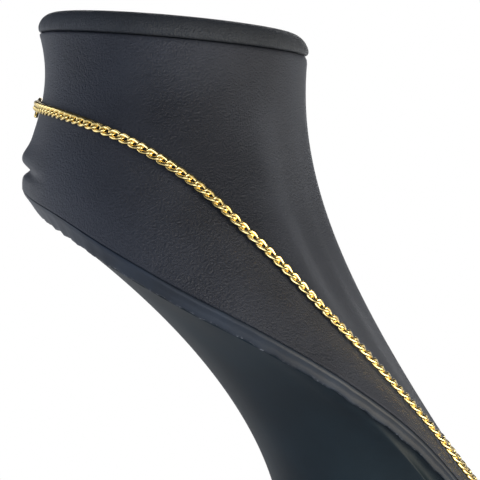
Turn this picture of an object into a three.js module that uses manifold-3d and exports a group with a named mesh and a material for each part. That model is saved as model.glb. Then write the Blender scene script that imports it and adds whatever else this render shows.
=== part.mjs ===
// A curb chain necklace with a clasp, lying round a padded neck bust.
// Millimetres, +Z up. The bust faces -Y and stands on Z = 0. X runs to the wearer's left.
// The bust is worked out as [side, forward, height]: side 0 is its middle, forward 0 the middle of the neck.

import * as THREE from 'three';
import * as BufferGeometryUtils from 'three/addons/utils/BufferGeometryUtils.js';
import Module from 'manifold-3d';

const wasm = await Module();
wasm.setup();

// The chain
const WIRE = 1.05;
const LINK_PITCH = 4.1;
const LINK_WIDTH = 4.4;
const LINKS_PER_HALF = 77;
const LINK_PLAY = 0.22;
const MEETING_SLACK = 0.1;
const LINK_STATIONS = 10;
const WIRE_SIDES = 5;
const END_TWIST = 55;
const CHAIN_HEIGHT = 1.7;

// The clasp, measured along the chain: an oval hook with a link soldered to each of its ends
const CLASP_LENGTH = 20;
const HOOK_LENGTH = 11.8;
const HOOK_WIDTH = 6;
const HOOK_WIRE = 1.3;
const HOOK_DROP = 0.55;
const LEVER_LENGTH = 2.4;

// The neck and its cap
const NECK_HALF_WIDTH = 57;
const NECK_HALF_DEPTH = 50.8;
const SEAM_HEIGHT = 264;
const SEAM_SLOPE = 0.086;
const NECK_LEVELS = [0, 0.15, 0.3, 0.45, 0.6, 0.76, 0.86, 1];
const CAP_RINGS = [
  { scale: 0.985, rise: 0 },
  { scale: 1, rise: 2.4 },
  { scale: 0.94, rise: 6 },
  { scale: 0.8, rise: 7.7 },
];
const CAP_CROWN = 8.6;

// The fold in the covering at the nape: a lobe, then a crease, which fade out round the neck
const FOLD_REACH = 36;
const FOLD_LOBE = { level: 0.76, depth: 1.6, spread: 0.07 };
const FOLD_CREASE = { level: 0.86, depth: -2.8, spread: 0.035 };

// The edge of the shoulders and chest, and how the covering runs down to it from the neck seam.
// turn goes round from the nape (0) to the front (180). side, forward and height are the edge.
// drop and lean bend the surface below the seam; inward and rise bend it above the edge.
const EDGE_STEP = 20;
const EDGE = [
  { turn: 0, side: 0, forward: -57, height: 210, drop: 26, lean: -8, inward: -1, rise: 17 },
  { turn: 20, side: 42, forward: -50.5, height: 207, drop: 27, lean: -6, inward: 1, rise: 19 },
  { turn: 40, side: 73, forward: -37, height: 201, drop: 28, lean: -1, inward: 5, rise: 25 },
  { turn: 60, side: 93, forward: -19, height: 191, drop: 29, lean: 4, inward: 9, rise: 30 },
  { turn: 80, side: 104, forward: 5, height: 178, drop: 31, lean: 6, inward: 12, rise: 34 },
  { turn: 100, side: 105, forward: 33, height: 163.5, drop: 36, lean: 5, inward: 19, rise: 41 },
  { turn: 120, side: 95, forward: 62, height: 145.5, drop: 43, lean: 1, inward: 32, rise: 54 },
  { turn: 140, side: 76, forward: 89.5, height: 122.5, drop: 53, lean: -5, inward: 56, rise: 68 },
  { turn: 160, side: 49, forward: 119, height: 86, drop: 60, lean: -7, inward: 66, rise: 94 },
  { turn: 180, side: 0, forward: 152, height: 42, drop: 62, lean: -7, inward: 68, rise: 100 },
];

// The band round the edge, and the gap between pieces that meet
const BAND_HEIGHT = 6;
const BAND_THICKNESS = 2;
const BAND_TUCK = 0.8;
const NAPE_TUCK = 5.5;
const GAP = 0.35;

// The pedestal behind and below the band, down to an oval foot
const FOOT_HALF_WIDTH = 62;
const FOOT_BACK = 12;
const FOOT_FRONT = 132;
const FOOT_HEIGHT = 8;
const PEDESTAL_LEVELS = [0.2, 0.4, 0.6, 0.8, 1];
const BACK_SWEEP = { topForward: 38, topIn: 0, topDrop: 28, footForward: 79, footIn: 0, footRise: 80 };
const SIDE_SWEEP = { topForward: 42, topIn: 26, topDrop: 32, footForward: 40, footIn: 12, footRise: 80 };
const FRONT_SWEEP = { topForward: -20, topIn: 0, topDrop: 7, footForward: 4, footIn: 0, footRise: 8 };

// Half of the chain's route on the covering: how far round, and how far down from seam (0) to edge (1)
const ROUTE = [
  { turn: 0, down: 0.415 },
  { turn: 20, down: 0.425 },
  { turn: 40, down: 0.448 },
  { turn: 60, down: 0.473 },
  { turn: 75, down: 0.505 },
  { turn: 90, down: 0.583 },
  { turn: 105, down: 0.72 },
  { turn: 120, down: 0.843 },
  { turn: 135, down: 0.887 },
  { turn: 150, down: 0.9 },
  { turn: 160, down: 0.912 },
  { turn: 170, down: 0.882 },
  { turn: 180, down: 0.85 },
];
const ROUTE_SAMPLES = 60;

// The middle of the whole object from front to back, which is put at Y = 0
const FORWARD_MIDDLE = 47.47;

const COLUMNS = 24;

// Small helpers on [side, forward, height] triples

function radians(degrees) {
  return (degrees * Math.PI) / 180;
}

function plus(a, b, factor = 1) {
  return [a[0] + b[0] * factor, a[1] + b[1] * factor, a[2] + b[2] * factor];
}

function unit(a) {
  const size = Math.hypot(...a);
  return a.map((value) => value / size);
}

function cross(a, b) {
  return [a[1] * b[2] - a[2] * b[1], a[2] * b[0] - a[0] * b[2], a[0] * b[1] - a[1] * b[0]];
}

function curveThrough(before, start, end, after, share) {
  const bend = 2 * before - 5 * start + 4 * end - after + share * (3 * (start - end) + after - before);
  return start + 0.5 * share * (end - before + share * bend);
}

function bezier(a, b, c, d, share) {
  const rest = 1 - share;
  const parts = [rest ** 3, 3 * rest * rest * share, 3 * rest * share * share, share ** 3];
  return [0, 1, 2].map((axis) => parts[0] * a[axis] + parts[1] * b[axis] + parts[2] * c[axis] + parts[3] * d[axis]);
}

// A column of the edge table, read smoothly at any turn; the table is mirrored past the nape and front
function edgeValue(turn, name) {
  const last = EDGE.length - 1;
  const place = turn / EDGE_STEP;
  const row = Math.min(Math.max(Math.floor(place), 0), last - 1);
  const read = (index) => {
    const outside = index < 0 || index > last;
    const mirrored = index < 0 ? -index : index > last ? 2 * last - index : index;
    return EDGE[mirrored][name] * (outside && name === 'side' ? -1 : 1);
  };
  return curveThrough(read(row - 1), read(row), read(row + 1), read(row + 2), place - row);
}

function edgePoint(turn) {
  return [edgeValue(turn, 'side'), edgeValue(turn, 'forward'), edgeValue(turn, 'height')];
}

function seamPoint(turn, scale = 1) {
  const forward = -NECK_HALF_DEPTH * scale * Math.cos(radians(turn));
  return [NECK_HALF_WIDTH * scale * Math.sin(radians(turn)), forward, SEAM_HEIGHT - SEAM_SLOPE * forward];
}

function foldDepth(turn, level) {
  if (Math.abs(turn) >= FOLD_REACH) {
    return 0;
  }
  const fade = Math.cos((0.5 * Math.PI * turn) / FOLD_REACH) ** 2;
  const bump = (fold) => fold.depth * Math.exp(-(((level - fold.level) / fold.spread) ** 2));
  return fade * (bump(FOLD_LOBE) + bump(FOLD_CREASE));
}

// The covering of the neck, shoulders and chest: turn goes round, level goes from the seam to the edge
function coveringPoint(turn, level) {
  const seam = seamPoint(turn);
  const edge = edgePoint(turn);
  const outward = [Math.sin(radians(turn)), -Math.cos(radians(turn)), 0];
  const inward = unit([seam[0] - edge[0], seam[1] - edge[1], 0]);
  const belowSeam = plus(plus(seam, outward, edgeValue(turn, 'lean')), [0, 0, -edgeValue(turn, 'drop')]);
  const aboveEdge = plus(plus(edge, inward, edgeValue(turn, 'inward')), [0, 0, edgeValue(turn, 'rise')]);
  const smooth = bezier(seam, belowSeam, aboveEdge, edge, level);
  return plus(smooth, outward, foldDepth(turn, level));
}

function coveringNormal(turn, level) {
  const step = 0.25;
  const around = plus(coveringPoint(turn + step, level), coveringPoint(turn - step, level), -1);
  const down = plus(coveringPoint(turn, level + 0.01 * step), coveringPoint(turn, level - 0.01 * step), -1);
  return unit(cross(around, down)).map((value) => -value);
}

// Straight lines from side to side join the two edges, and make the underside of the chest
function undersideHeight(forward) {
  const step = 360 / COLUMNS;
  let turn = 0;
  while (turn < 180 - step && edgeValue(turn + step, 'forward') < forward) {
    turn += step;
  }
  const before = edgePoint(turn);
  const after = edgePoint(turn + step);
  const share = (forward - before[1]) / (after[1] - before[1]);
  return before[2] + share * (after[2] - before[2]);
}

function edgeInset(turn, inset, drop) {
  const step = 0.5;
  const before = edgePoint(Math.max(turn - step, 0));
  const after = edgePoint(Math.min(turn + step, 180));
  const along = turn === 0 || turn === 180 ? [Math.cos(radians(turn)), 0] : [after[0] - before[0], after[1] - before[1]];
  const size = Math.hypot(...along);
  const edge = edgePoint(turn);
  const side = edge[0] - (along[1] / size) * inset;
  const forward = edge[1] + (along[0] / size) * inset;
  return [side, forward, undersideHeight(forward) - drop];
}

// How far the lower edge of the band is set in, which is most at the nape
function bandTuck(turn) {
  return BAND_TUCK + NAPE_TUCK * Math.max(Math.cos(radians(turn)), 0) ** 2;
}

function footPoint(turn, height) {
  const halfLength = (FOOT_FRONT - FOOT_BACK) / 2;
  const forward = FOOT_BACK + halfLength * (1 - Math.cos(radians(turn)));
  return [FOOT_HALF_WIDTH * Math.sin(radians(turn)), forward, height];
}

function sweepValue(turn, name) {
  const back = Math.max(Math.cos(radians(turn)), 0) ** 2;
  const front = Math.max(-Math.cos(radians(turn)), 0) ** 2;
  return back * BACK_SWEEP[name] + front * FRONT_SWEEP[name] + (1 - back - front) * SIDE_SWEEP[name];
}

function pedestalPoint(turn, level) {
  const top = edgeInset(turn, BAND_THICKNESS - BAND_TUCK + 1.25 * bandTuck(turn) + GAP, BAND_HEIGHT + GAP);
  const foot = footPoint(turn, FOOT_HEIGHT);
  const topBend = [-sweepValue(turn, 'topIn'), sweepValue(turn, 'topForward'), -sweepValue(turn, 'topDrop')];
  const footBend = [-sweepValue(turn, 'footIn'), sweepValue(turn, 'footForward'), sweepValue(turn, 'footRise')];
  return bezier(top, plus(top, topBend), plus(foot, footBend), foot, level);
}

// Meshes

function toFrame(point) {
  return [point[0], FORWARD_MIDDLE - point[1], point[2]];
}

function closedGeometry(points, triangles) {
  const corners = points.map((point) => new THREE.Vector3(...point));
  const volume = triangles.reduce((sum, [a, b, c]) => {
    return sum + corners[a].dot(new THREE.Vector3().crossVectors(corners[b], corners[c]));
  }, 0);
  const faces = volume > 0 ? triangles : triangles.map(([a, b, c]) => [a, c, b]);
  const geometry = new THREE.BufferGeometry();
  geometry.setAttribute('position', new THREE.Float32BufferAttribute(points.flat(), 3));
  geometry.setIndex(faces.flat());
  geometry.computeVertexNormals();
  return geometry;
}

// A whole ring of points, from a function that gives the wearer's right half for turns of 0 to 180
function ring(pointAt) {
  return Array.from({ length: COLUMNS }, (_, index) => {
    const turn = (360 * index) / COLUMNS;
    const point = pointAt(Math.min(turn, 360 - turn));
    return toFrame([turn > 180 ? point[0] : -point[0], point[1], point[2]]);
  });
}

function joinRings(triangles, upper, lower) {
  for (let index = 0; index < COLUMNS; index += 1) {
    const next = (index + 1) % COLUMNS;
    triangles.push([upper + index, upper + next, lower + next]);
    triangles.push([upper + index, lower + next, lower + index]);
  }
}

// Closes a ring with strips that run straight across from one side to the other
function closeAcross(triangles, start, facesUp) {
  for (let index = 0; index < COLUMNS / 2; index += 1) {
    const right = [start + index, start + index + 1];
    const left = [start + ((COLUMNS - index) % COLUMNS), start + COLUMNS - index - 1];
    const strip = [];
    if (index > 0) {
      strip.push([right[0], left[0], right[1]]);
    }
    if (index < COLUMNS / 2 - 1) {
      strip.push([right[1], left[0], left[1]]);
    }
    strip.forEach(([a, b, c]) => triangles.push(facesUp ? [a, b, c] : [a, c, b]));
  }
}

function stackedRings(rings) {
  const triangles = [];
  for (let level = 0; level + 1 < rings.length; level += 1) {
    joinRings(triangles, level * COLUMNS, (level + 1) * COLUMNS);
  }
  closeAcross(triangles, 0, true);
  closeAcross(triangles, (rings.length - 1) * COLUMNS, false);
  return closedGeometry(rings.flat(), triangles);
}

function neckAndChest() {
  return stackedRings(NECK_LEVELS.map((level) => ring((turn) => coveringPoint(turn, level))));
}

function topCap() {
  const rings = CAP_RINGS.map(({ scale, rise }) => {
    return ring((turn) => plus(seamPoint(turn, scale), [0, 0, GAP + rise]));
  });
  const crown = toFrame([0, 0, SEAM_HEIGHT + GAP + CAP_CROWN]);
  const triangles = [];
  for (let level = 0; level + 1 < rings.length; level += 1) {
    joinRings(triangles, (level + 1) * COLUMNS, level * COLUMNS);
  }
  closeAcross(triangles, 0, false);
  const top = (rings.length - 1) * COLUMNS;
  for (let index = 0; index < COLUMNS; index += 1) {
    triangles.push([top + index, rings.length * COLUMNS, top + ((index + 1) % COLUMNS)]);
  }
  return closedGeometry([...rings.flat(), crown], triangles);
}

function edgeBand() {
  const rings = [
    ring((turn) => edgeInset(turn, 0, GAP)),
    ring((turn) => edgeInset(turn, bandTuck(turn), BAND_HEIGHT)),
    ring((turn) => edgeInset(turn, BAND_THICKNESS - BAND_TUCK + bandTuck(turn), BAND_HEIGHT)),
    ring((turn) => edgeInset(turn, BAND_THICKNESS, GAP)),
  ];
  const triangles = [];
  rings.forEach((_, level) => joinRings(triangles, level * COLUMNS, ((level + 1) % rings.length) * COLUMNS));
  return closedGeometry(rings.flat(), triangles);
}

function pedestal() {
  return stackedRings([
    ring((turn) => edgeInset(turn, BAND_THICKNESS + 0.25 * bandTuck(turn) + GAP, GAP)),
    ring((turn) => pedestalPoint(turn, 0)),
    ...PEDESTAL_LEVELS.map((level) => ring((turn) => pedestalPoint(turn, level))),
    ring((turn) => footPoint(turn, 0)),
  ]);
}

// The chain's route above the covering, as points with their outward directions and distances along it

function routeAt(place) {
  const last = ROUTE.length - 1;
  const row = Math.min(Math.floor(place), last - 1);
  const read = (index, name) => {
    const mirrored = index < 0 ? -index : index > last ? 2 * last - index : index;
    const value = ROUTE[mirrored][name];
    return name === 'turn' && index < 0 ? -value : name === 'turn' && index > last ? 360 - value : value;
  };
  const value = (name) => {
    return curveThrough(read(row - 1, name), read(row, name), read(row + 1, name), read(row + 2, name), place - row);
  };
  return { turn: value('turn'), level: value('down') };
}

function rightHalfRoute() {
  const count = (ROUTE.length - 1) * ROUTE_SAMPLES;
  const points = [];
  let distance = 0;
  for (let index = 0; index <= count; index += 1) {
    const { turn, level } = routeAt(index / ROUTE_SAMPLES);
    const normal = coveringNormal(turn, level);
    const place = plus(coveringPoint(turn, level), normal, CHAIN_HEIGHT);
    const before = points[index - 1];
    distance += before ? Math.hypot(...plus(place, before.place, -1)) : 0;
    points.push({ place, normal, distance });
  }
  return points;
}

// A point of the route at a distance from the nape, with the directions along the chain and outward
function routeFrame(route, distance, mirror) {
  const next = Math.min(Math.max(route.findIndex((point) => point.distance >= distance), 1), route.length - 1);
  const [a, b] = [route[next - 1], route[next]];
  const share = (distance - a.distance) / (b.distance - a.distance);
  const place = plus(a.place, plus(b.place, a.place, -1), share);
  const along = plus(b.place, a.place, -1);
  const normal = plus(a.normal, plus(b.normal, a.normal, -1), share);
  const turned = (v) => new THREE.Vector3(mirror * v[0], -v[1], v[2]);
  const xAxis = turned(along).normalize();
  const zAxis = turned(normal).addScaledVector(xAxis, -turned(normal).dot(xAxis)).normalize();
  const yAxis = new THREE.Vector3().crossVectors(zAxis, xAxis);
  const matrix = new THREE.Matrix4().makeBasis(xAxis, yAxis, zAxis);
  matrix.setPosition(mirror * place[0], FORWARD_MIDDLE - place[1], place[2]);
  return matrix;
}

// One link about its own centre: an oval of wire whose ends are turned, as a curb link is
function linkPoints() {
  const barX = (LINK_PITCH + WIRE + LINK_PLAY) / 2;
  const halfWidth = (LINK_WIDTH - WIRE) / 2;
  const firstAngle = 180 / LINK_STATIONS;
  const halfLength = barX / Math.cos(radians(firstAngle));
  const points = [];
  for (let station = 0; station < LINK_STATIONS; station += 1) {
    const angle = radians(firstAngle + (360 * station) / LINK_STATIONS);
    const centre = new THREE.Vector3(halfLength * Math.cos(angle), halfWidth * Math.sin(angle), 0);
    const outward = new THREE.Vector3(Math.cos(angle) / halfLength, Math.sin(angle) / halfWidth, 0).normalize();
    for (let side = 0; side < WIRE_SIDES; side += 1) {
      const around = radians((360 * (side - 0.5)) / WIRE_SIDES);
      const point = centre.clone().addScaledVector(outward, (-WIRE / 2) * Math.cos(around));
      point.z = (WIRE / 2) * Math.sin(around);
      const turned = radians(-END_TWIST * Math.min(Math.max(point.x / barX, -1), 1));
      points.push(point.applyAxisAngle(new THREE.Vector3(1, 0, 0), turned));
    }
  }
  return points;
}

// The two triangles of each face of the wire; the first of an inner end face can be left open
function linkTriangles(start, openEnds) {
  const triangles = [];
  const corner = (station, side) => start + (station % LINK_STATIONS) * WIRE_SIDES + (side % WIRE_SIDES);
  for (let station = 0; station < LINK_STATIONS; station += 1) {
    for (let side = 0; side < WIRE_SIDES; side += 1) {
      const first = [corner(station, side), corner(station + 1, side), corner(station + 1, side + 1)];
      const second = [corner(station, side), corner(station + 1, side + 1), corner(station, side + 1)];
      const open = side === 0 && openEnds.includes(station);
      triangles.push(...(open ? [second] : [first, second]));
    }
  }
  return triangles;
}

const FAR_END = LINK_STATIONS - 1;
const NEAR_END = LINK_STATIONS / 2 - 1;

function endOpening(start, station) {
  const next = (station + 1) % LINK_STATIONS;
  return [start + station * WIRE_SIDES, start + next * WIRE_SIDES, start + next * WIRE_SIDES + 1];
}

// A dot of solder: three small faces that join the open triangles of two links
function solderTriangles(points, from, to) {
  const gap = (shift) => {
    return from.reduce((sum, corner, index) => sum + points[corner].distanceTo(points[to[(shift - index + 3) % 3]]), 0);
  };
  const shift = [0, 1, 2].reduce((best, candidate) => (gap(candidate) < gap(best) ? candidate : best), 0);
  const match = (index) => to[(shift - index + 3) % 3];
  const triangles = [];
  for (let index = 0; index < 3; index += 1) {
    const next = (index + 1) % 3;
    triangles.push([from[index], from[next], match(next)]);
    triangles.push([from[index], match(next), match(index)]);
  }
  return triangles;
}

function chainHalf(mirror) {
  const route = rightHalfRoute();
  const start = CLASP_LENGTH / 2;
  const spacing = (route[route.length - 1].distance + MEETING_SLACK / 2 - start) / LINKS_PER_HALF;
  const link = linkPoints();
  const points = [];
  const triangles = [];
  for (let index = 0; index < LINKS_PER_HALF; index += 1) {
    const frame = routeFrame(route, start + (index + 0.5) * spacing, mirror);
    const first = points.length;
    points.push(...link.map((point) => point.clone().applyMatrix4(frame)));
    const openEnds = [];
    if (index > 0) {
      openEnds.push(NEAR_END);
    }
    if (index < LINKS_PER_HALF - 1) {
      openEnds.push(FAR_END);
    }
    triangles.push(...linkTriangles(first, openEnds));
    if (index > 0) {
      const before = first - link.length;
      triangles.push(...solderTriangles(points, endOpening(before, FAR_END), endOpening(first, NEAR_END)));
    }
  }
  return closedGeometry(points.map((point) => point.toArray()), triangles);
}

// Solids that are joined into one

function toSolid(geometry) {
  const bare = geometry.clone();
  bare.deleteAttribute('normal');
  bare.deleteAttribute('uv');
  const merged = BufferGeometryUtils.mergeVertices(bare, 1e-4);
  const mesh = { numProp: 3, vertProperties: merged.attributes.position.array, triVerts: merged.index.array };
  return new wasm.Manifold(new wasm.Mesh(mesh));
}

function fromSolid(solid) {
  const mesh = solid.getMesh();
  const geometry = new THREE.BufferGeometry();
  geometry.setAttribute('position', new THREE.BufferAttribute(new Float32Array(mesh.vertProperties), 3));
  geometry.setIndex(new THREE.BufferAttribute(new Uint32Array(mesh.triVerts), 1));
  geometry.computeVertexNormals();
  return geometry;
}

// A closed loop of round wire, as a torus stretched along the chain
function wireLoop(length, width, wire, stations) {
  const torus = new THREE.TorusGeometry((width - wire) / 2, wire / 2, WIRE_SIDES, stations);
  const stretch = (length - wire) / (width - wire);
  const positions = torus.attributes.position;
  for (let index = 0; index < positions.count; index += 1) {
    const x = positions.getX(index);
    const beyondWire = x - Math.max(Math.min(x, wire / 2), -wire / 2);
    positions.setX(index, x + beyondWire * (stretch - 1));
  }
  return torus;
}

function hookFrame() {
  const place = coveringPoint(0, ROUTE[0].down);
  const normal = coveringNormal(0, ROUTE[0].down);
  const zAxis = new THREE.Vector3(0, -normal[1], normal[2]);
  const xAxis = new THREE.Vector3(1, 0, 0);
  const frame = new THREE.Matrix4().makeBasis(xAxis, new THREE.Vector3().crossVectors(zAxis, xAxis), zAxis);
  return frame.setPosition(...toFrame(plus(place, normal, CHAIN_HEIGHT - HOOK_DROP)));
}

function claspGeometry() {
  const hook = wireLoop(HOOK_LENGTH, HOOK_WIDTH, HOOK_WIRE, 12);
  const lever = new THREE.CylinderGeometry(HOOK_WIRE * 0.4, HOOK_WIRE * 0.4, LEVER_LENGTH, WIRE_SIDES);
  lever.translate(-HOOK_LENGTH * 0.1, HOOK_WIDTH / 2 + LEVER_LENGTH * 0.2, 0);
  const solids = [hook, lever].map((part) => toSolid(part.applyMatrix4(hookFrame())));
  const route = rightHalfRoute();
  const link = closedGeometry(linkPoints().map((point) => point.toArray()), linkTriangles(0, []));
  const linkDistance = (CLASP_LENGTH - LINK_PITCH) / 2 + MEETING_SLACK;
  [-1, 1].forEach((mirror) => {
    solids.push(toSolid(link.clone().applyMatrix4(routeFrame(route, linkDistance, mirror))));
  });
  return fromSolid(solids.reduce((joined, solid) => joined.add(solid)));
}

// The scene graph

const gold = { color: 0xd8ab4a, roughness: 0.22, metalness: 1 };
const leatherette = { color: 0x2b2f38, roughness: 0.55, metalness: 0 };
const backCloth = { color: 0x222b36, roughness: 0.65, metalness: 0 };

function piece(name, geometry, finish) {
  const mesh = new THREE.Mesh(geometry, new THREE.MeshStandardMaterial(finish));
  mesh.name = name;
  return mesh;
}

const necklace = new THREE.Group();
necklace.add(piece('chain_right', chainHalf(-1), gold));
necklace.add(piece('chain_left', chainHalf(1), gold));
necklace.add(piece('clasp', claspGeometry(), gold));

const bust = new THREE.Group();
bust.add(piece('neck_and_chest', neckAndChest(), leatherette));
bust.add(piece('top_cap', topCap(), leatherette));
bust.add(piece('edge_band', edgeBand(), leatherette));
bust.add(piece('pedestal', pedestal(), backCloth));

const display = new THREE.Group();
display.add(necklace, bust);

export default display;
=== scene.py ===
import math

import bpy
from mathutils import Matrix, Vector


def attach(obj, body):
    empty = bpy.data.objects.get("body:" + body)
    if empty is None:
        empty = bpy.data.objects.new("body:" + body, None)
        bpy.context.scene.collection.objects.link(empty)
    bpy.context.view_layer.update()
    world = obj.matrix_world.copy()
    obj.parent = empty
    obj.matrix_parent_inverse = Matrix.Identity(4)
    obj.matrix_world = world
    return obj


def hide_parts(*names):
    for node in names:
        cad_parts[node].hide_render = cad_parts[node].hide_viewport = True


# A gold curb chain with a clasp at the nape, lying round a padded neck bust.
# The bust is worked out in millimetres as side, forward and height: side 0 is its middle,
# forward 0 the middle of the neck. Every finished piece is in metres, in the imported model's frame.

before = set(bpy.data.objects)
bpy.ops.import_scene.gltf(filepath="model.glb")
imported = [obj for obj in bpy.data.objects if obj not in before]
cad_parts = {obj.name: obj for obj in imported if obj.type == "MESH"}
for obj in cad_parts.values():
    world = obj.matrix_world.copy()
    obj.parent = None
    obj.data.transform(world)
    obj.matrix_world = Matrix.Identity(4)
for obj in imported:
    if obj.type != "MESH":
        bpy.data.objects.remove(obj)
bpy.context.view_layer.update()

MILLIMETRE = 0.001
# How far forward of the neck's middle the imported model's origin lies
FORWARD_MIDDLE = 47.47

# The photograph's camera looks square at the wearer's right side, a little downwards
CAMERA_DISTANCE = 800
CAMERA_ELEVATION = 2.3
CAMERA_LENS = 157.95
CAMERA_TARGET = (0, 25.1, 190)
FLOOR_RADIUS = 500

# The chain: its wire is flattened, each link's oval is drawn out square, and the link's two ends are turned
# by END_TWIST degrees, each its own way. A link's opening is longer than the pitch by LINK_PLAY.
WIRE = 1.45
WIRE_FLATNESS = 0.85
LINK_PITCH = 4.1
LINK_WIDTH = 3.95
LINKS_PER_HALF = 77
LINK_PLAY = 0.2
MEETING_SLACK = 0.1
END_TWIST = 45
LINK_SQUARENESS = 0.8
CHAIN_HEIGHT = 1.7
LINK_SEGMENTS = 36
WIRE_SEGMENTS = 12

# The clasp: its hook is a ring that flares towards its root, with wire that is thicker there and at its back
CLASP_LENGTH = 20
HOOK_LENGTH = 11.8
HOOK_WIDTH = 6
HOOK_WIRE = 1.3
HOOK_DROP = 0.55
HOOK_FLARE = 0.12
HOOK_THICKNESS = {"middle": 1.2, "root": 0.35, "back": 0.3}
HOOK_SEGMENTS = 72
HOOK_WIRE_SEGMENTS = 20

# Links and the hook are bent from a ring of radius 1 with wire of this radius
RING_WIRE = 0.25

# The neck and its cap. The covering turns in to the seam over SEAM_ROUNDING of its way down to the edge.
# The cap's profile is how wide it is, against the neck, and how high above the seam.
NECK_HALF_WIDTH = 57
NECK_HALF_DEPTH = 50.8
SEAM_HEIGHT = 264
SEAM_SLOPE = 0.086
SEAM_TUCK = 0.45
SEAM_ROUNDING = 0.016
SEAM_SHRINK = 0.02
CAP_PROFILE = [(0.975, -0.1), (0.99, 0.1), (1.0, 0.7), (1.002, 1.8), (0.996, 3.2), (0.978, 4.9), (0.948, 6.4),
               (0.905, 7.5), (0.84, 8.1), (0.7, 8.6), (0.4, 9.0), (0.0, 9.1)]

# The cloth is gathered round the cap's rim in waves: how many round the rim, how deep and how far along.
# The depth is a share of the rim's radius, and fades above and below GATHER_RISE.
GATHERS = [(41, 1, 0), (67, 0.7, 1), (97, 0.5, 2)]
GATHER_DEPTH = 0.0016
GATHER_RISE = 1.6
GATHER_SPREAD = 1.4

# The fold in the covering at the nape: a lobe, then a crease, which fade out round the neck
FOLD_REACH = 36
FOLD_LOBE = {"level": 0.76, "depth": 1.6, "spread": 0.07}
FOLD_CREASE = {"level": 0.86, "depth": -2.8, "spread": 0.035}

# The edge of the shoulders and chest, and how the covering runs down to it from the neck seam,
# every 20 degrees from the nape to the front
EDGE_STEP = 20
EDGE = {
    "side": [0, 42, 73, 93, 104, 105, 95, 76, 49, 0],
    "forward": [-57, -50.5, -37, -19, 5, 33, 62, 89.5, 119, 152],
    "height": [210, 207, 201, 191, 178, 163.5, 145.5, 122.5, 86, 42],
    "drop": [26, 27, 28, 29, 31, 36, 43, 53, 60, 62],
    "lean": [-8, -6, -1, 4, 6, 5, 1, -5, -7, -7],
    "inward": [-1, 1, 5, 9, 12, 19, 32, 56, 66, 68],
    "rise": [17, 19, 25, 30, 34, 41, 54, 68, 94, 100],
}

# The band round the edge, as a section: how far set in, and how far down
BAND_HEIGHT = 6
BAND_DEPTH = 2
BAND_TUCK = 0.8
NAPE_TUCK = 5.5
BAND_SECTION = [(BAND_DEPTH, 0.3), (0.9, 0.1), (0.25, 0.2), (-0.2, 0.55), (-0.45, 1.15), (-0.45, 1.8),
                (-0.2, 2.5), (0.05, 3.4), (0.2, 4.6), (0.4, 5.6), (0.75, 6.05), (1.6, 6.05),
                (BAND_DEPTH, 5.6)]
GAP = 0.35

# The cloth that is folded under the band isn't quite even, in waves: how fast they pass, in radians for each
# degree round the edge, how deep and how far along
UNEVENNESS = [(0.9, 0.245, 0), (2.3, 0.14, 1), (5.1, 0.084, 0)]

# The stand behind and below the band, down to an oval foot. Its sweeps say how far the wall's curve reaches
# from the top and from the foot, forward, in towards the middle, and down or up.
STAND_SET_IN = 0.25
FOOT_HALF_WIDTH = 62
FOOT_BACK = 12
FOOT_FRONT = 132
FOOT_HEIGHT = 8
SWEEPS = {
    "back": {"top_forward": 38, "top_in": 0, "top_drop": 28,
             "foot_forward": 79, "foot_in": 0, "foot_rise": 80},
    "side": {"top_forward": 42, "top_in": 26, "top_drop": 32,
             "foot_forward": 40, "foot_in": 12, "foot_rise": 80},
    "front": {"top_forward": -20, "top_in": 0, "top_drop": 7,
              "foot_forward": 4, "foot_in": 0, "foot_rise": 8},
}

# Half of the chain's route on the covering: how far round, and how far down from seam to edge
ROUTE = [(0, 0.415), (20, 0.425), (40, 0.448), (60, 0.473), (75, 0.505), (90, 0.583), (105, 0.72),
         (120, 0.843), (135, 0.887), (150, 0.9), (160, 0.912), (170, 0.882), (180, 0.85)]
ROUTE_SAMPLES = 60

# How finely the skins are drawn: columns round the bust, rows of the whole covering and of the stand's wall,
# rows across the end of a skin, and rows between two points of a profile or section
COVERING_COLUMNS = 288
CAP_COLUMNS = 240
BAND_COLUMNS = 360
STAND_COLUMNS = 192
COVERING_ROWS = 130
STAND_ROWS = 90
CLOSING_ROWS = 6
PROFILE_ROWS = 3

# The features of each finish. Real pebbles are about 0.5 mm across. They are drawn coarser, so that they
# show, and so are the weave and the wear.
STRETCHED_PATCH = 45
PEBBLE = 0.7
GRIT = 0.28
FOLDED_PATCH = 16.67
FRAYED_THREAD = 1.429
MOTTLE = 33.33
WEAVE = 0.7143
WEAR = 1.111

# The softboxes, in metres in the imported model's frame: name, place, aim, size, watts and tint
SOFTBOXES = [
    ("overhead", (-0.45, -0.1, 1.15), (0, 0, 0.2), (0.4, 0.4), 0.9, "#ffffff"),
    ("side_window", (-1.1, 0.3, 0.35), (0, 0, 0.24), (0.8, 0.6), 7, "#eaf0ff"),
    ("front_window", (-0.65, -1.0, 0.15), (0, -0.05, 0.12), (0.9, 0.6), 22, "#ffefd2"),
    ("nape_window", (0.3, 1.1, 0.45), (0, 0.05, 0.2), (0.8, 0.6), 3, "#f4f7ff"),
    ("left_window", (1.2, 0, 0.4), (0, 0, 0.2), (0.6, 0.6), 3, "#ffffff"),
]

# Slopes are worked out between points this near each other, in degrees round and in level, and places are
# found by so many halvings
NEAR_TURN = 0.25
NEAR_LEVEL = 0.0025
NEAR_EDGE_TURN = 0.5
HALVINGS = 24


# The shape of the bust, in millimetres

def curve_through(before, start, end, after, share):
    bend = 2 * before - 5 * start + 4 * end - after + share * (3 * (start - end) + after - before)
    return start + 0.5 * share * (end - before + share * bend)


def bezier(a, b, c, d, share):
    rest = 1 - share
    return a * rest**3 + b * (3 * rest * rest * share) + c * (3 * rest * share * share) + d * share**3


def waves(place, table):
    """The sum of some waves at a place, from rows of rate, depth and phase."""
    return sum(depth * math.sin(rate * place + phase) for rate, depth, phase in table)


def mirrored(index, last):
    """An index past either end of a table, counted back from that end."""
    if index < 0:
        return -index
    return 2 * last - index if index > last else index


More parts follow.
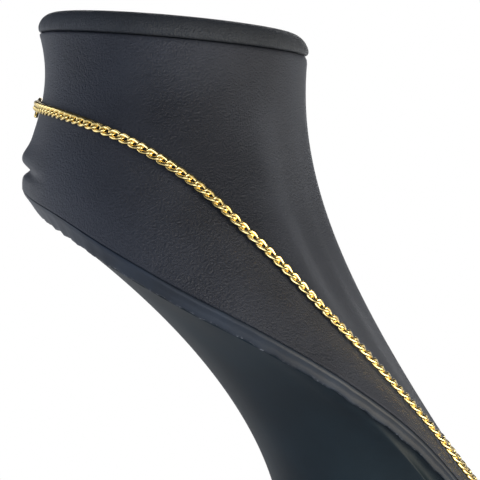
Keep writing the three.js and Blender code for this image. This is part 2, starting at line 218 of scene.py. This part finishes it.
def edge_value(turn, name):
    """A column of the edge table, read smoothly; it is mirrored past the nape and the front."""
    column = EDGE[name]
    last = len(column) - 1
    place = turn / EDGE_STEP
    row = min(max(math.floor(place), 0), last - 1)
    values = []
    for index in range(row - 1, row + 3):
        outside = index < 0 or index > last
        sign = -1 if outside and name == "side" else 1
        values.append(column[mirrored(index, last)] * sign)
    return curve_through(*values, place - row)


def edge_point(turn):
    return Vector((edge_value(turn, "side"), edge_value(turn, "forward"), edge_value(turn, "height")))


def seam_point(turn, scale=1.0):
    angle = math.radians(turn)
    forward = -NECK_HALF_DEPTH * scale * math.cos(angle)
    return Vector((NECK_HALF_WIDTH * scale * math.sin(angle), forward, SEAM_HEIGHT - SEAM_SLOPE * forward))


def fold_depth(turn, level):
    if abs(turn) >= FOLD_REACH:
        return 0
    fade = math.cos(0.5 * math.pi * turn / FOLD_REACH) ** 2
    bumps = (fold["depth"] * math.exp(-(((level - fold["level"]) / fold["spread"]) ** 2))
             for fold in (FOLD_LOBE, FOLD_CREASE))
    return fade * sum(bumps)


def covering_point(turn, level):
    """The covering: turn goes round from the nape to the front, level from the seam to the edge."""
    seam = seam_point(turn)
    edge = edge_point(turn)
    angle = math.radians(turn)
    outward = Vector((math.sin(angle), -math.cos(angle), 0))
    inward = Vector((seam.x - edge.x, seam.y - edge.y, 0)).normalized()
    below_seam = seam + outward * edge_value(turn, "lean") - Vector((0, 0, edge_value(turn, "drop")))
    above_edge = edge + inward * edge_value(turn, "inward") + Vector((0, 0, edge_value(turn, "rise")))
    return bezier(seam, below_seam, above_edge, edge, level) + outward * fold_depth(turn, level)


def covering_normal(turn, level):
    around = covering_point(turn + NEAR_TURN, level) - covering_point(turn - NEAR_TURN, level)
    down = covering_point(turn, level + NEAR_LEVEL) - covering_point(turn, level - NEAR_LEVEL)
    return down.cross(around).normalized()


def turn_at_forward(forward):
    """How far round the edge lies at a distance forward, found by halving."""
    low, high = 0.0, 180.0
    for _ in range(HALVINGS):
        middle = (low + high) / 2
        if edge_value(middle, "forward") < forward:
            low = middle
        else:
            high = middle
    return (low + high) / 2


def underside_height(forward):
    return edge_value(turn_at_forward(forward), "height")


def edge_inset(turn, inset, drop):
    """A point set in from the edge on the underside, and lowered."""
    before = edge_point(max(turn - NEAR_EDGE_TURN, 0))
    after = edge_point(min(turn + NEAR_EDGE_TURN, 180))
    along = Vector((after.x - before.x, after.y - before.y))
    if turn in (0, 180):
        along = Vector((math.cos(math.radians(turn)), 0))
    along.normalize()
    edge = edge_point(turn)
    side = max(edge.x - along.y * inset, 0)
    forward = edge.y + along.x * inset
    return Vector((side, forward, underside_height(forward) - drop))


def band_tuck(turn):
    return BAND_TUCK + NAPE_TUCK * max(math.cos(math.radians(turn)), 0) ** 2


def foot_point(turn, height):
    half_length = (FOOT_FRONT - FOOT_BACK) / 2
    forward = FOOT_BACK + half_length * (1 - math.cos(math.radians(turn)))
    return Vector((FOOT_HALF_WIDTH * math.sin(math.radians(turn)), forward, height))


def sweep_value(turn, name):
    back = max(math.cos(math.radians(turn)), 0) ** 2
    front = max(-math.cos(math.radians(turn)), 0) ** 2
    shares = {"back": back, "front": front, "side": 1 - back - front}
    return sum(share * SWEEPS[key][name] for key, share in shares.items())


def stand_point(turn, level):
    inset = BAND_DEPTH - BAND_TUCK + (1 + STAND_SET_IN) * band_tuck(turn) + GAP
    top = edge_inset(turn, inset, BAND_HEIGHT + GAP)
    foot = foot_point(turn, FOOT_HEIGHT)
    top_bend = Vector((-sweep_value(turn, "top_in"), sweep_value(turn, "top_forward"),
                       -sweep_value(turn, "top_drop")))
    foot_bend = Vector((-sweep_value(turn, "foot_in"), sweep_value(turn, "foot_forward"),
                        sweep_value(turn, "foot_rise")))
    return bezier(top, top + top_bend, foot + foot_bend, foot, level)


def to_frame(point):
    """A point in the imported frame. Its side is positive for the wearer's right, and negative for the left."""
    return Vector((-point.x, FORWARD_MIDDLE - point.y, point.z)) * MILLIMETRE


# Making pieces

def deselect_all():
    bpy.ops.object.select_all(action="DESELECT")


def edit(piece, *steps):
    """Runs edit-mode steps on all of a piece."""
    deselect_all()
    piece.select_set(True)
    bpy.context.view_layer.objects.active = piece
    bpy.ops.object.mode_set(mode="EDIT")
    bpy.ops.mesh.select_all(action="SELECT")
    for step in steps:
        step()
    bpy.ops.object.mode_set(mode="OBJECT")


def weld():
    bpy.ops.mesh.remove_doubles(threshold=0.00001)


def face_outwards():
    bpy.ops.mesh.normals_make_consistent(inside=False)


def formed_grid(name, columns, rows, place):
    """A grid wrapped into a closed skin, with its columns from -180 to 180 degrees round the bust.
    place(turn, row) gives a point of the right half, for turns of 0 to 180."""
    deselect_all()
    bpy.ops.mesh.primitive_grid_add(x_subdivisions=columns, y_subdivisions=rows, size=2)
    piece = bpy.context.object
    piece.name = name
    found = {}
    for vertex in piece.data.vertices:
        turn = round(vertex.co.x * 180, 4)
        row = round((1 - vertex.co.y) / 2 * rows)
        key = (abs(turn), row)
        if key not in found:
            found[key] = place(abs(turn), row)
        point = found[key]
        vertex.co = to_frame(Vector((point.x if turn >= 0 else -point.x, point.y, point.z)))
    edit(piece, weld, face_outwards)
    bpy.ops.object.shade_smooth()
    return piece


def across(point, share):
    """A point on the straight line from the edge of a skin to its middle."""
    return Vector((point.x * (1 - share), point.y, point.z))


def join(pieces, name):
    deselect_all()
    for piece in pieces:
        piece.select_set(True)
    bpy.context.view_layer.objects.active = pieces[0]
    bpy.ops.object.join()
    joined = bpy.context.object
    joined.name = name
    return joined


def place_in_mesh(piece):
    deselect_all()
    piece.select_set(True)
    bpy.context.view_layer.objects.active = piece
    bpy.ops.object.transform_apply(location=True, rotation=True, scale=True)


def finish_piece(piece, material, node):
    piece.data.materials.clear()
    piece.data.materials.append(material)
    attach(piece, "root")
    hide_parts(node)


# Materials

def colour(hex_value):
    """An sRGB hex colour as the linear numbers that a shader takes."""
    channels = [int(hex_value[index:index + 2], 16) / 255 for index in (1, 3, 5)]
    linear = [value / 12.92 if value <= 0.04045 else ((value + 0.055) / 1.055) ** 2.4 for value in channels]
    return (*linear, 1)


def add_node(tree, kind, inputs=None, **settings):
    """Adds a node with its settings. An input is a value, or the socket of another node that feeds it."""
    node = tree.nodes.new(kind)
    for name, value in settings.items():
        setattr(node, name, value)
    for name, value in (inputs or {}).items():
        if isinstance(value, bpy.types.NodeSocket):
            tree.links.new(value, node.inputs[name])
        else:
            node.inputs[name].default_value = value
    return node


def new_material(name):
    material = bpy.data.materials.new(name)
    material.use_nodes = True
    tree = material.node_tree
    return material, tree, tree.nodes["Principled BSDF"]


def set_values(shader, values):
    for name, value in values.items():
        shader.inputs[name].default_value = value


def repeats(size):
    """The scale of a pattern whose features are so many millimetres across."""
    return 1 / (size * MILLIMETRE)


def ramp(tree, source, stops):
    """A colour ramp from (position, hex colour) stops."""
    node = add_node(tree, "ShaderNodeValToRGB", {"Fac": source})
    elements = node.color_ramp.elements
    while len(elements) < len(stops):
        elements.new(0.5)
    for element, (position, hex_value) in zip(elements, stops):
        element.position = position
        element.color = colour(hex_value)
    return node.outputs["Color"]


def leatherette(name, dark, light, roughness, pebble_depth):
    """Black leatherette, calendered and pebbled: a dull blue-black skin with small glints on each pebble,
    slow changes of shade where it is stretched over the padding, and painted shade that darkens the
    valleys between the pebbles."""
    material, tree, shader = new_material(name)
    place = add_node(tree, "ShaderNodeTexCoord").outputs["Object"]
    patches = add_node(tree, "ShaderNodeTexNoise", {
        "Vector": place, "Scale": repeats(STRETCHED_PATCH), "Detail": 3})
    tone = ramp(tree, patches.outputs["Fac"], [(0.35, dark), (0.65, light)])
    pebbles = add_node(tree, "ShaderNodeTexVoronoi", {"Vector": place, "Scale": repeats(PEBBLE)},
                       feature="SMOOTH_F1")
    # Painted shade: the base colour is darkened towards the valleys between the pebbles
    pebble_valley_shade = add_node(tree, "ShaderNodeMapRange", {
        "Value": pebbles.outputs["Distance"], "From Min": 0.35, "From Max": 0.75, "To Min": 0, "To Max": 0.4})
    shade = add_node(tree, "ShaderNodeMix", {
        "Factor": pebble_valley_shade.outputs["Result"], "A": tone, "B": colour(dark)}, data_type="RGBA")
    tree.links.new(shade.outputs[2], shader.inputs["Base Color"])
    gloss = add_node(tree, "ShaderNodeMapRange", {
        "Value": patches.outputs["Fac"], "From Min": 0.3, "From Max": 0.7,
        "To Min": roughness - 0.05, "To Max": roughness + 0.07})
    tree.links.new(gloss.outputs["Result"], shader.inputs["Roughness"])
    grit = add_node(tree, "ShaderNodeTexNoise", {"Vector": place, "Scale": repeats(GRIT), "Detail": 2})
    height = add_node(tree, "ShaderNodeMath", {0: pebbles.outputs["Distance"], 1: grit.outputs["Fac"]},
                      operation="SUBTRACT")
    bump = add_node(tree, "ShaderNodeBump", {
        "Height": height.outputs["Value"], "Strength": 0.9, "Distance": pebble_depth * MILLIMETRE},
        invert=True)
    tree.links.new(bump.outputs["Normal"], shader.inputs["Normal"])
    set_values(shader, {"IOR": 1.42, "Specular Tint": colour("#c8d0e4"), "Sheen Weight": 0.06,
                        "Sheen Roughness": 0.4, "Sheen Tint": colour("#8e9ab5")})
    return material


def band_leatherette():
    """The same cloth folded over the edge: smoother where it is pulled, with pale threads at its cut edge."""
    material, tree, shader = new_material("folded_leatherette")
    place = add_node(tree, "ShaderNodeTexCoord")
    patches = add_node(tree, "ShaderNodeTexNoise", {
        "Vector": place.outputs["Object"], "Scale": repeats(FOLDED_PATCH), "Detail": 4})
    tone = ramp(tree, patches.outputs["Fac"], [(0.35, "#101822"), (0.65, "#1a2431")])
    down = add_node(tree, "ShaderNodeSeparateXYZ", {"Vector": place.outputs["UV"]}).outputs["Y"]
    near_cut = add_node(tree, "ShaderNodeMapRange", {
        "Value": down, "From Min": 0.34, "From Max": 0.22, "To Min": 0, "To Max": 1})
    threads = add_node(tree, "ShaderNodeTexNoise", {
        "Vector": place.outputs["Object"], "Scale": repeats(FRAYED_THREAD), "Detail": 3, "Roughness": 0.7})
    fray = add_node(tree, "ShaderNodeMapRange", {
        "Value": threads.outputs["Fac"], "From Min": 0.56, "From Max": 0.66, "To Min": 0, "To Max": 0.55})
    shown = add_node(tree, "ShaderNodeMath", {0: near_cut.outputs["Result"], 1: fray.outputs["Result"]},
                     operation="MULTIPLY")
    shade = add_node(tree, "ShaderNodeMix", {
        "Factor": shown.outputs["Value"], "A": tone, "B": colour("#8b919c")}, data_type="RGBA")
    tree.links.new(shade.outputs[2], shader.inputs["Base Color"])
    bump = add_node(tree, "ShaderNodeBump", {
        "Height": threads.outputs["Fac"], "Strength": 0.35, "Distance": 0.2 * MILLIMETRE})
    tree.links.new(bump.outputs["Normal"], shader.inputs["Normal"])
    set_values(shader, {"Roughness": 0.55, "IOR": 1.4, "Sheen Weight": 0.05, "Sheen Roughness": 0.4,
                        "Sheen Tint": colour("#8d97ad")})
    return material


def stand_cloth():
    """Smooth coated cloth on the stand: flat, blue-black and even, with the faintest mottling."""
    material, tree, shader = new_material("smooth_coated_cloth")
    place = add_node(tree, "ShaderNodeTexCoord").outputs["Object"]
    patches = add_node(tree, "ShaderNodeTexNoise", {"Vector": place, "Scale": repeats(MOTTLE), "Detail": 5})
    tone = ramp(tree, patches.outputs["Fac"], [(0.35, "#0c1820"), (0.65, "#112029")])
    tree.links.new(tone, shader.inputs["Base Color"])
    weave = add_node(tree, "ShaderNodeTexNoise", {"Vector": place, "Scale": repeats(WEAVE), "Detail": 2})
    bump = add_node(tree, "ShaderNodeBump", {
        "Height": weave.outputs["Fac"], "Strength": 0.2, "Distance": 0.1 * MILLIMETRE})
    tree.links.new(bump.outputs["Normal"], shader.inputs["Normal"])
    set_values(shader, {"Roughness": 0.6, "IOR": 1.3})
    return material


def polished_gold():
    """Gold-plated brass, drawn and polished: bright warm mirrors with hair-fine wear."""
    material, tree, shader = new_material("polished_gold")
    place = add_node(tree, "ShaderNodeTexCoord").outputs["Object"]
    wear = add_node(tree, "ShaderNodeTexNoise", {"Vector": place, "Scale": repeats(WEAR), "Detail": 3})
    tone = ramp(tree, wear.outputs["Fac"], [(0.3, "#d9bf76"), (0.7, "#efd798")])
    tree.links.new(tone, shader.inputs["Base Color"])
    gloss = add_node(tree, "ShaderNodeMapRange", {
        "Value": wear.outputs["Fac"], "From Min": 0.3, "From Max": 0.7, "To Min": 0.17, "To Max": 0.28})
    tree.links.new(gloss.outputs["Result"], shader.inputs["Roughness"])
    set_values(shader, {"Metallic": 1})
    return material


# The bust

def make_covering():
    """The padded skin of the neck and chest, tucked in under the cap."""
    def place(turn, row):
        if row < CLOSING_ROWS:
            seam = seam_point(turn, 1 - SEAM_SHRINK)
            share = 1 - row / CLOSING_ROWS
            return across(Vector((seam.x, seam.y, seam.z - SEAM_TUCK)), share)
        if row > COVERING_ROWS - CLOSING_ROWS:
            edge = edge_point(turn)
            return across(edge, (row - COVERING_ROWS + CLOSING_ROWS) / CLOSING_ROWS)
        level = (row - CLOSING_ROWS) / (COVERING_ROWS - 2 * CLOSING_ROWS)
        rounding = max(1 - level / SEAM_ROUNDING, 0) ** 2
        point = covering_point(turn, level)
        shrink = 1 - SEAM_SHRINK * rounding
        return Vector((point.x * shrink, point.y * shrink, point.z - SEAM_TUCK * rounding))
    return formed_grid("neck_and_chest_covering", COVERING_COLUMNS, COVERING_ROWS, place)


def make_cap():
    """The padded oval cap, with its cloth gathered round the rim."""
    last = len(CAP_PROFILE) - 1

    def place(turn, row):
        if row < CLOSING_ROWS:
            scale, rise = CAP_PROFILE[0]
            seam = seam_point(turn, scale)
            return across(Vector((seam.x, seam.y, seam.z + rise)), 1 - row / CLOSING_ROWS)
        position = (row - CLOSING_ROWS) / PROFILE_ROWS
        index = min(int(position), last - 1)
        neighbours = [CAP_PROFILE[min(max(index + step, 0), last)] for step in (-1, 0, 1, 2)]
        scale, rise = (curve_through(*values, position - index) for values in zip(*neighbours))
        fade = math.exp(-((rise - GATHER_RISE) / GATHER_SPREAD) ** 2)
        pucker = GATHER_DEPTH * waves(math.radians(turn), GATHERS) * fade
        seam = seam_point(turn, max(scale, 0) * (1 + pucker))
        return Vector((seam.x, seam.y, seam.z + rise))
    return formed_grid("padded_cap", CAP_COLUMNS, CLOSING_ROWS + PROFILE_ROWS * last, place)


def make_band():
    """The band of folded cloth round the edge, uneven towards its underside."""
    closed = BAND_SECTION + BAND_SECTION[:1]

    def place(turn, row):
        step, part = divmod(row, PROFILE_ROWS)
        inset, drop = closed[step]
        if part:
            later_inset, later_drop = closed[step + 1]
            share = part / PROFILE_ROWS
            inset += (later_inset - inset) * share
            drop += (later_drop - drop) * share
        down = min(max(drop / BAND_HEIGHT, 0), 1)
        tuck = (band_tuck(turn) - BAND_TUCK) * down
        return edge_inset(turn, inset + tuck, drop + waves(turn, UNEVENNESS) * down)
    return formed_grid("folded_edge_band", BAND_COLUMNS, PROFILE_ROWS * (len(closed) - 1), place)


def make_stand():
    """The concave back and the oval foot, under the chest and inside the band."""
    def place(turn, row):
        if row <= CLOSING_ROWS:
            top = edge_inset(turn, BAND_DEPTH + STAND_SET_IN * band_tuck(turn) + GAP, GAP)
            return across(top, 1 - row / CLOSING_ROWS)
        if row <= CLOSING_ROWS + STAND_ROWS:
            return stand_point(turn, (row - CLOSING_ROWS - 1) / (STAND_ROWS - 1))
        foot = foot_point(turn, 0)
        return across(foot, (row - CLOSING_ROWS - STAND_ROWS - 1) / CLOSING_ROWS)
    return formed_grid("coated_stand", STAND_COLUMNS, 2 * CLOSING_ROWS + STAND_ROWS + 1, place)


# The chain

def route_at(place):
    last = len(ROUTE) - 1
    row = min(int(place), last - 1)
    turns, levels = [], []
    for index in range(row - 1, row + 3):
        turn, level = ROUTE[mirrored(index, last)]
        turns.append(-turn if index < 0 else 360 - turn if index > last else turn)
        levels.append(level)
    return curve_through(*turns, place - row), curve_through(*levels, place - row)


def right_half_route():
    """Points above the covering from the nape to the front, with outward directions and distances."""
    points = []
    distance = 0
    for index in range((len(ROUTE) - 1) * ROUTE_SAMPLES + 1):
        turn, level = route_at(index / ROUTE_SAMPLES)
        normal = covering_normal(turn, level)
        place = covering_point(turn, level) + normal * CHAIN_HEIGHT
        if points:
            distance += (place - points[-1][0]).length
        points.append((place, normal, distance))
    return points


def route_frame(route, distance, mirror):
    """Where a link lies, with x along the chain and z outwards. mirror is -1 for the wearer's right half of
    the chain and 1 for the left."""
    index = next((number for number, point in enumerate(route) if point[2] >= distance), len(route) - 1)
    index = max(index, 1)
    (place_a, normal_a, distance_a), (place_b, normal_b, distance_b) = route[index - 1], route[index]
    share = (distance - distance_a) / (distance_b - distance_a)
    place = place_a.lerp(place_b, share)
    along = place_b - place_a
    normal = normal_a.lerp(normal_b, share)
    x_axis = Vector((mirror * along.x, -along.y, along.z)).normalized()
    z_axis = Vector((mirror * normal.x, -normal.y, normal.z))
    z_axis = (z_axis - x_axis * z_axis.dot(x_axis)).normalized()
    y_axis = z_axis.cross(x_axis)
    matrix = Matrix((x_axis, y_axis, z_axis)).transposed().to_4x4()
    matrix.translation = to_frame(Vector((-mirror * place.x, place.y, place.z)))
    return matrix


def squared(value):
    """Draws an oval's sides out straight."""
    return math.copysign(abs(value) ** LINK_SQUARENESS, value)


def bent_ring(segments, wire_segments, half_length, half_width, place):
    """A ring of wire, bent to an oval. place(angle, outward, beyond, above) gives a point of its surface,
    which lies beyond the wire's middle and above it by so many times half the wire."""
    deselect_all()
    bpy.ops.mesh.primitive_torus_add(major_radius=1, minor_radius=RING_WIRE, major_segments=segments,
                                     minor_segments=wire_segments)
    ring = bpy.context.object
    for vertex in ring.data.vertices:
        angle = math.atan2(vertex.co.y, vertex.co.x)
        outward = Vector((math.cos(angle) / half_length, math.sin(angle) / half_width, 0)).normalized()
        beyond = (math.hypot(vertex.co.x, vertex.co.y) - 1) / RING_WIRE
        vertex.co = place(angle, outward, beyond, vertex.co.z / RING_WIRE) * MILLIMETRE
    bpy.ops.object.shade_smooth()
    return ring


def make_link():
    """One curb link: a ring of wire made oval, its ends turned until it lies flat on its neighbours."""
    half_length = (LINK_PITCH + WIRE + LINK_PLAY) / 2
    half_width = (LINK_WIDTH - WIRE) / 2

    def place(angle, outward, beyond, above):
        point = Vector((half_length * squared(math.cos(angle)), half_width * squared(math.sin(angle)), 0))
        point += outward * (beyond * WIRE / 2)
        point.z = above * WIRE / 2 * WIRE_FLATNESS
        turned = -END_TWIST * min(max(point.x / half_length, -1), 1)
        return Matrix.Rotation(math.radians(turned), 3, "X") @ point
    return bent_ring(LINK_SEGMENTS, WIRE_SEGMENTS, half_length, half_width, place)


def copy_of(piece, matrix):
    copied = bpy.data.objects.new(piece.name + "_copy", piece.data.copy())
    bpy.context.collection.objects.link(copied)
    copied.data.transform(matrix)
    return copied


def make_chain_half(link, route, mirror, name):
    start = CLASP_LENGTH / 2
    spacing = (route[-1][2] + MEETING_SLACK / 2 - start) / LINKS_PER_HALF
    links = [copy_of(link, route_frame(route, start + (index + 0.5) * spacing, mirror))
             for index in range(LINKS_PER_HALF)]
    return join(links, name)


# The clasp: a lobster hook with its lever, between two soldered links

def hook_frame():
    level = ROUTE[0][1]
    normal = covering_normal(0, level)
    place = covering_point(0, level) + normal * (CHAIN_HEIGHT - HOOK_DROP)
    x_axis = Vector((1, 0, 0))
    z_axis = Vector((0, -normal.y, normal.z))
    matrix = Matrix((x_axis, z_axis.cross(x_axis), z_axis)).transposed().to_4x4()
    matrix.translation = to_frame(place)
    return matrix


def make_hook():
    """The claw: a drop-shaped ring, heavy at its back and root and drawn thin along the gate to its nose."""
    half_length = (HOOK_LENGTH - HOOK_WIRE) / 2
    half_width = (HOOK_WIDTH - HOOK_WIRE) / 2

    def place(angle, outward, beyond, above):
        thicker = HOOK_THICKNESS["root"] * math.cos(angle) - HOOK_THICKNESS["back"] * math.sin(angle)
        thickness = HOOK_WIRE * (HOOK_THICKNESS["middle"] + thicker)
        width = half_width * (1 + HOOK_FLARE * math.cos(angle))
        point = Vector((half_length * math.cos(angle), width * math.sin(angle), 0))
        point += outward * (beyond * thickness / 2)
        point.z = above * HOOK_WIRE / 2
        return point
    return bent_ring(HOOK_SEGMENTS, HOOK_WIRE_SEGMENTS, half_length, half_width, place)


def rounded_bar(radius, length, place, turn, rounding):
    """A short bar with rounded ends, in the clasp's own millimetres."""
    deselect_all()
    bpy.ops.mesh.primitive_cylinder_add(vertices=24, radius=radius * MILLIMETRE, depth=length * MILLIMETRE,
                                        location=Vector(place) * MILLIMETRE, rotation=turn)
    bar = bpy.context.object
    place_in_mesh(bar)
    bevel = bar.modifiers.new("rounding", "BEVEL")
    bevel.width = rounding * MILLIMETRE
    bevel.segments = 4
    bpy.ops.object.modifier_apply(modifier=bevel.name)
    bpy.ops.object.shade_smooth_by_angle(angle=math.radians(50))
    return bar


def make_lever():
    """The thumb lever that opens the claw: a rounded tab standing out of the gate."""
    return rounded_bar(radius=0.8, length=2.5, place=(-1.2, 3.4, 0), turn=(math.radians(90), 0, 0.3),
                       rounding=0.45)


def make_rivet():
    """The rivet through the root, that the gate turns on."""
    return rounded_bar(radius=0.55, length=1.55, place=(HOOK_LENGTH / 2 - HOOK_WIRE, 0.4, 0), turn=(0, 0, 0),
                       rounding=0.15)


def make_clasp(link, route):
    parts = [make_hook(), make_lever(), make_rivet()]
    for part in parts:
        part.data.transform(hook_frame())
    distance = (CLASP_LENGTH - LINK_PITCH) / 2 + MEETING_SLACK
    parts += [copy_of(link, route_frame(route, distance, mirror)) for mirror in (-1, 1)]
    return join(parts, "lobster_clasp")


# The camera, floor and light

def make_camera():
    elevation = math.radians(CAMERA_ELEVATION)
    target = to_frame(Vector(CAMERA_TARGET))
    back = Vector((-math.cos(elevation), 0, math.sin(elevation)))
    data = bpy.data.cameras.new("camera")
    data.lens = CAMERA_LENS
    data.sensor_width = 36
    data.clip_start = 0.01
    data.clip_end = 20
    camera = bpy.data.objects.new("camera", data)
    bpy.context.collection.objects.link(camera)
    camera.location = target + back * CAMERA_DISTANCE * MILLIMETRE
    camera.rotation_euler = (-back).to_track_quat("-Z", "Y").to_euler()
    bpy.context.scene.camera = camera


def make_floor():
    deselect_all()
    bpy.ops.mesh.primitive_circle_add(vertices=96, radius=FLOOR_RADIUS * MILLIMETRE, fill_type="NGON")
    floor = bpy.context.object
    floor.name = "floor"
    material, _, shader = new_material("pale_paper")
    set_values(shader, {"Base Color": colour("#f4f4f4"), "Roughness": 0.9, "Specular IOR Level": 0.1,
                        "Emission Color": colour("#ffffff"), "Emission Strength": 0.2})
    floor.data.materials.append(material)


def add_softbox(name, location, target, size, power, tint):
    data = bpy.data.lights.new(name, "AREA")
    data.shape = "RECTANGLE"
    data.size, data.size_y = size
    data.energy = power
    data.color = colour(tint)[:3]
    light = bpy.data.objects.new(name, data)
    bpy.context.collection.objects.link(light)
    light.visible_camera = False
    light.location = location
    light.rotation_euler = (Vector(target) - Vector(location)).to_track_quat("-Z", "Y").to_euler()


def make_world():
    """A white room with a dim ceiling."""
    world = bpy.data.worlds.new("studio")
    world.use_nodes = True
    tree = world.node_tree
    direction = add_node(tree, "ShaderNodeTexCoord").outputs["Generated"]
    up = add_node(tree, "ShaderNodeSeparateXYZ", {"Vector": direction}).outputs["Z"]
    height = add_node(tree, "ShaderNodeMapRange", {"Value": up, "From Min": -1, "From Max": 1})
    walls = ramp(tree, height.outputs["Result"],
                 [(0.0, "#ffffff"), (0.5, "#f0f3f8"), (0.6, "#50545c"), (1.0, "#2a2d33")])
    seen = add_node(tree, "ShaderNodeLightPath").outputs["Is Camera Ray"]
    paper = add_node(tree, "ShaderNodeMix", {"Factor": seen, "A": walls, "B": colour("#ffffff")},
                     data_type="RGBA")
    tree.links.new(paper.outputs[2], tree.nodes["Background"].inputs["Color"])
    tree.nodes["Background"].inputs["Strength"].default_value = 1.0
    bpy.context.scene.world = world
    bpy.context.scene.view_settings.view_transform = "Standard"


make_camera()

pebbled = leatherette("pebbled_leatherette", "#191b20", "#292c33", roughness=0.48, pebble_depth=0.4)
cap_skin = leatherette("cap_leatherette", "#1f2225", "#2d3034", roughness=0.5, pebble_depth=0.5)
gold = polished_gold()

finish_piece(make_covering(), pebbled, "neck_and_chest")
finish_piece(make_cap(), cap_skin, "top_cap")
finish_piece(make_band(), band_leatherette(), "edge_band")
finish_piece(make_stand(), stand_cloth(), "pedestal")

template = make_link()
half_route = right_half_route()
finish_piece(make_chain_half(template, half_route, -1, "curb_links_right"), gold, "chain_right")
finish_piece(make_chain_half(template, half_route, 1, "curb_links_left"), gold, "chain_left")
finish_piece(make_clasp(template, half_route), gold, "clasp")
bpy.data.objects.remove(template)

make_floor()
make_world()
for softbox in SOFTBOXES:
    add_softbox(*softbox)
